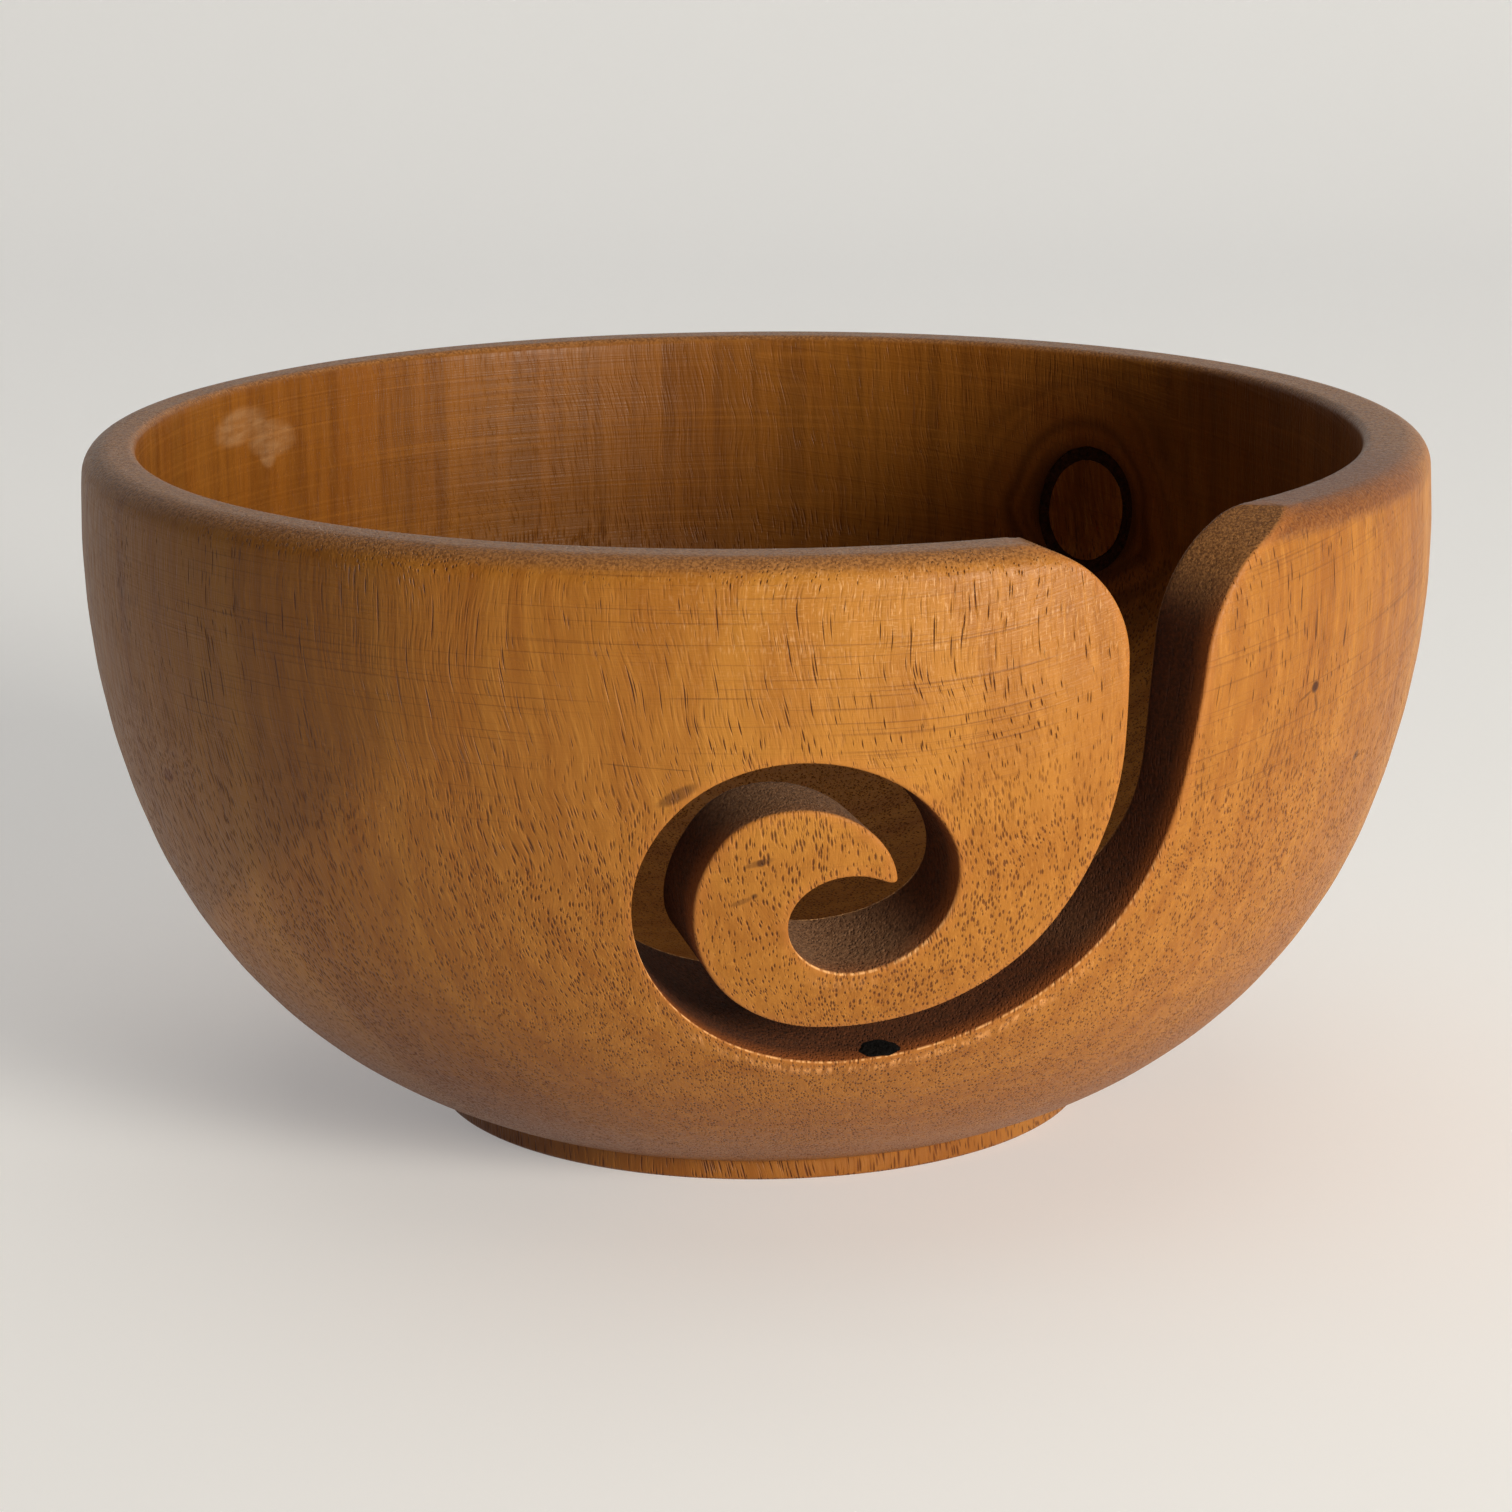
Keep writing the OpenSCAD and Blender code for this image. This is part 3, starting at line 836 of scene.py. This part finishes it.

    # The sanded edge is painted lighter as a highlight; fibres are torn up along lips that face up
    ticks = n.noise(n.vector(n.times(gx, 2.4), n.times(y, 0.4), n.times(z, 0.1)),
                    1.0, 1, 0.5)
    lip = n.times(ease, n.minus(1.0, n.ramp(cut, 0.3, 1.0)))
    low_lip = n.times(lip, n.times(n.ramp(normal_z, -0.2, 0.4), n.ramp(z, 46, 40)))
    torn = n.times(low_lip, n.ramp(ticks, 0.42, 0.58, 0.05, 0.75))
    # Painted highlight along the sanded edge
    colour = n.mix(n.times(lip, 0.25), colour, rgb(176, 108, 50))
    colour = n.mix(torn, colour, rgb(226, 168, 108))
    comb = n.times(n.ramp(n.attribute("lip"), 0.1, 0.7, 0, 0.8), n.ramp(ticks, 0.42, 0.58))
    comb = n.times(comb, n.ramp(z, 34, 28))
    colour = n.mix(comb, colour, rgb(216, 150, 88))
    n.put(colour, n.shader.inputs["Base Color"])

    roughness = n.plus(n.ramp(fibre, 0.3, 0.7, 0.36, 0.50), n.times(cut, 0.4))
    roughness = n.plus(roughness, n.times(pores, 0.15), clamp=True)
    n.put(roughness, n.shader.inputs["Roughness"])
    n.shader.inputs["Specular IOR Level"].default_value = 0.18

    height = n.times(groove, -0.16)
    height = n.plus(height, n.times(fibre, 0.07))
    height = n.plus(height, n.times(n.times(scratch, upright_wall), 0.06))
    height = n.plus(height, n.times(n.times(rough_cut, cut), 0.18))
    bump = n.new("ShaderNodeBump", {"Strength": 1.0, "Distance": MM, "Height": height})
    n.put(bump.outputs[0], n.shader.inputs["Normal"])
    return n.material


def dark_matter(name, low_colour, high_colour, roughness):
    n = Nodes(name)
    place_mm = wood_fields(n)[0]
    lumps = n.noise(place_mm, 1.3, 4, 0.6, 0.4)
    n.put(n.mix(n.ramp(lumps, 0.3, 0.7), low_colour, high_colour), n.shader.inputs["Base Color"])
    n.put(n.ramp(lumps, 0.3, 0.7, roughness, roughness + 0.25), n.shader.inputs["Roughness"])
    n.shader.inputs["Specular IOR Level"].default_value = 0.1
    bump = n.new("ShaderNodeBump", {"Strength": 1.0, "Distance": MM, "Height": n.times(lumps, 0.35)})
    n.put(bump.outputs[0], n.shader.inputs["Normal"])
    return n.material


def dress(obj, material, slot_name, *nodes):
    obj.data.materials.append(material)
    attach(obj, "root")
    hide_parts(*nodes)


bowl_wood = wood("bowl_wood", rgb(163, 107, 38), rgb(146, 90, 29), rgb(82, 38, 12))
knot_wood = wood("knot_wood", rgb(104, 46, 20), rgb(70, 28, 11), rgb(34, 13, 5), halo_strength=0.0)
bark_black = dark_matter("bark_black", rgb(22, 13, 9), rgb(58, 32, 18), 0.45)
inclusion_black = dark_matter("inclusion_black", rgb(3, 3, 3), rgb(14, 11, 9), 0.6)

dress(make_bowl(), bowl_wood, "turned_wood", "bowl")
dress(make_plug("knot_core", KNOT_R, None, 0.05), knot_wood, "knot_wood", "wall_knot")
dress(make_plug("bark_ring", KNOT_R + BARK_T, KNOT_R, 0.22), bark_black, "dark_bark", "knot_bark")
dress(make_inclusion(), inclusion_black, "dark_bark", "slot_inclusion")

# ---------------------------------------------------------------- stage, light and camera
TARGET = Vector((-0.24, 0, 38.5)) * MM
CAMERA_DISTANCE = 506 * MM
CAMERA_ELEVATION = math.radians(14.06)
CAMERA_ROLL = math.radians(-0.4)


def make_floor():
    """A pale floor that bends up into a back wall, in metres."""
    mesh = bpy.data.meshes.new("floor")
    wide, front, bend_start, bend_r, wall_top, bend_steps = 3.0, -2.0, 0.7, 0.6, 1.6, 24
    rows = [(front, 0), (bend_start, 0)]
    rows += [(bend_start + bend_r * math.sin(a), bend_r - bend_r * math.cos(a))
             for a in np.linspace(0, math.pi / 2, bend_steps)[1:]]
    rows += [(bend_start + bend_r, wall_top)]
    points = [(x, y, z) for y, z in rows for x in (-wide, wide)]
    faces = [(2 * k, 2 * k + 1, 2 * k + 3, 2 * k + 2) for k in range(len(rows) - 1)]
    mesh.from_pydata(points, [], faces)
    mesh.shade_smooth()
    floor = bpy.data.objects.new("floor", mesh)
    bpy.context.collection.objects.link(floor)
    paint = Nodes("floor_pale")
    paint.shader.inputs["Base Color"].default_value = (0.74, 0.74, 0.74, 1)
    paint.shader.inputs["Emission Color"].default_value = (1, 1, 1, 1)
    paint.shader.inputs["Emission Strength"].default_value = 0.27
    paint.shader.inputs["Roughness"].default_value = 0.9
    paint.shader.inputs["Specular IOR Level"].default_value = 0.1
    mesh.materials.append(paint.material)


def area_light(name, place_m, size, power, colour):
    data = bpy.data.lights.new(name, "AREA")
    data.shape = "RECTANGLE"
    data.size, data.size_y = size
    data.energy = power
    data.color = colour
    lamp = bpy.data.objects.new(name, data)
    lamp.location = place_m
    lamp.rotation_euler = (Vector((0, 0, 0.04)) - Vector(place_m)).to_track_quat("-Z", "Y").to_euler()
    bpy.context.collection.objects.link(lamp)


make_floor()
area_light("key", (0.90, -0.90, 0.31), (0.45, 0.45), 24.4, (1.0, 0.95, 0.84))
area_light("top_soft", (0.0, 0.1, 1.4), (1.4, 1.4), 4.5, (1.0, 0.94, 0.85))

world = bpy.data.worlds.new("studio")
world.use_nodes = True
world.node_tree.nodes["Background"].inputs[0].default_value = (1.0, 0.93, 0.82, 1)
world.node_tree.nodes["Background"].inputs[1].default_value = 0.06
bpy.context.scene.world = world
bpy.context.scene.view_settings.view_transform = "Standard"

camera_data = bpy.data.cameras.new("camera")
camera_data.lens = 104.1
camera_data.sensor_width = 36
camera_data.clip_start, camera_data.clip_end = 0.01, 20
camera = bpy.data.objects.new("camera", camera_data)
back = Vector((0, -math.cos(CAMERA_ELEVATION), math.sin(CAMERA_ELEVATION)))
camera.location = TARGET + CAMERA_DISTANCE * back
camera.rotation_euler = (-back).to_track_quat("-Z", "Y").to_euler()
camera.rotation_euler.rotate_axis("Z", CAMERA_ROLL)
bpy.context.collection.objects.link(camera)
bpy.context.scene.camera = camera

bpy.context.view_layer.update()
